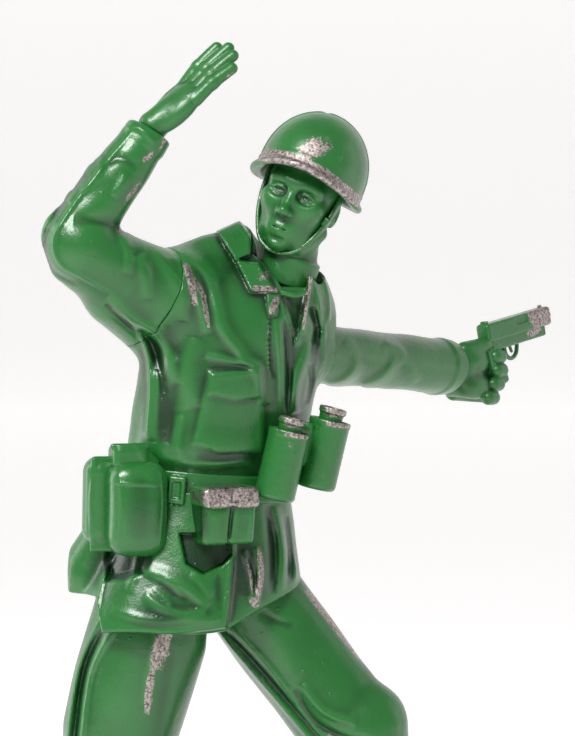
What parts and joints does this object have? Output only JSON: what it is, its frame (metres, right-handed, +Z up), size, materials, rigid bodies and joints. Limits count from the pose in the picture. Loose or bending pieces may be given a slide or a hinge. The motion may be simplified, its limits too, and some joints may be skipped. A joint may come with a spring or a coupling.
{
  "type": "toy soldier action figure",
  "caption": "Standing soldier figure in helmet and field tunic, one arm raised and the other holding a pistol, on an oval base, with swivelling head, arms and hands.",
  "frame": {"origin": "centre of the oval base's underside", "axes": "+Z up, +X from the rear foot towards the front foot, -Y the side the chest faces towards"},
  "size_m": [0.0707, 0.0553, 0.1076],
  "materials": {
    "lacquer_cloth": "thick glossy green lacquer with worn high spots",
    "lacquer_gear": "thick glossy green lacquer with worn high spots",
    "lacquer_skin": "thick glossy green lacquer with worn high spots",
    "lacquer_helmet": "thick glossy green lacquer with worn high spots",
    "lacquer_base": "thick glossy green lacquer with worn high spots",
    "dowel_steel": "turned steel"
  },
  "bodies": {
    "body": {"base": "lacquer_base", "right_boot": "lacquer_gear", "left_boot": "lacquer_gear", "right_leg": "lacquer_cloth", "left_leg": "lacquer_cloth", "tunic_skirt": "lacquer_cloth", "tunic_body": "lacquer_cloth", "belt": "lacquer_gear", "belt_buckle": "lacquer_gear", "canteen_cover_front": "lacquer_gear", "canteen_cover_back": "lacquer_gear", "canteen_flap": "lacquer_gear", "magazine_pouch": "lacquer_gear", "pouch_flap": "lacquer_gear", "right_breast_pocket": "lacquer_cloth", "left_breast_pocket": "lacquer_cloth", "right_hip_pocket": "lacquer_cloth", "left_hip_pocket": "lacquer_cloth", "front_placket": "lacquer_cloth", "right_lapel": "lacquer_cloth", "left_lapel": "lacquer_cloth", "undershirt": "lacquer_cloth", "collar": "lacquer_cloth", "right_barrel": "lacquer_gear", "left_barrel": "lacquer_gear", "right_eyecup": "lacquer_gear", "left_eyecup": "lacquer_gear", "binocular_bridge": "lacquer_gear", "neck_pin": "dowel_steel", "right_shoulder_pin": "dowel_steel", "left_shoulder_pin": "dowel_steel"},
    "head_body": {"head": "lacquer_skin", "helmet": "lacquer_helmet", "chin_strap": "lacquer_helmet"},
    "right_arm": {"right_sleeve": "lacquer_cloth", "right_wrist_pin": "dowel_steel"},
    "right_hand_body": {"right_hand": "lacquer_skin"},
    "left_arm": {"left_sleeve": "lacquer_cloth", "left_wrist_pin": "dowel_steel"},
    "left_hand_body": {"left_hand": "lacquer_skin", "pistol_slide": "lacquer_gear", "pistol_frame": "lacquer_gear"}
  },
  "joints": [
    {"name": "head_turn", "type": "hinge", "parent": "body", "child": "head_body", "pos_m": [0.0065, 0.0004, 0.0822], "axis": [0.3352, -0.055, 0.9405], "range_deg": [-30, 30]},
    {"name": "right_shoulder_swivel", "type": "hinge", "parent": "body", "child": "right_arm", "pos_m": [-0.0072, -0.0062, 0.0822], "axis": [-0.7707, -0.5075, 0.3853], "range_deg": [-35, 35]},
    {"name": "right_wrist_swivel", "type": "hinge", "parent": "right_arm", "child": "right_hand_body", "pos_m": [-0.0078, -0.0095, 0.0987], "axis": [0.5172, 0.1429, 0.8438], "range_deg": [-60, 60]},
    {"name": "left_shoulder_swivel", "type": "hinge", "parent": "body", "child": "left_arm", "pos_m": [0.0088, 0.0056, 0.0746], "axis": [0.6165, 0.7801, -0.1066], "range_deg": [-45, 45]},
    {"name": "left_wrist_swivel", "type": "hinge", "parent": "left_arm", "child": "left_hand_body", "pos_m": [0.025, 0.0261, 0.0718], "axis": [0.6165, 0.7801, -0.1066], "range_deg": [-45, 45]}
  ]
}
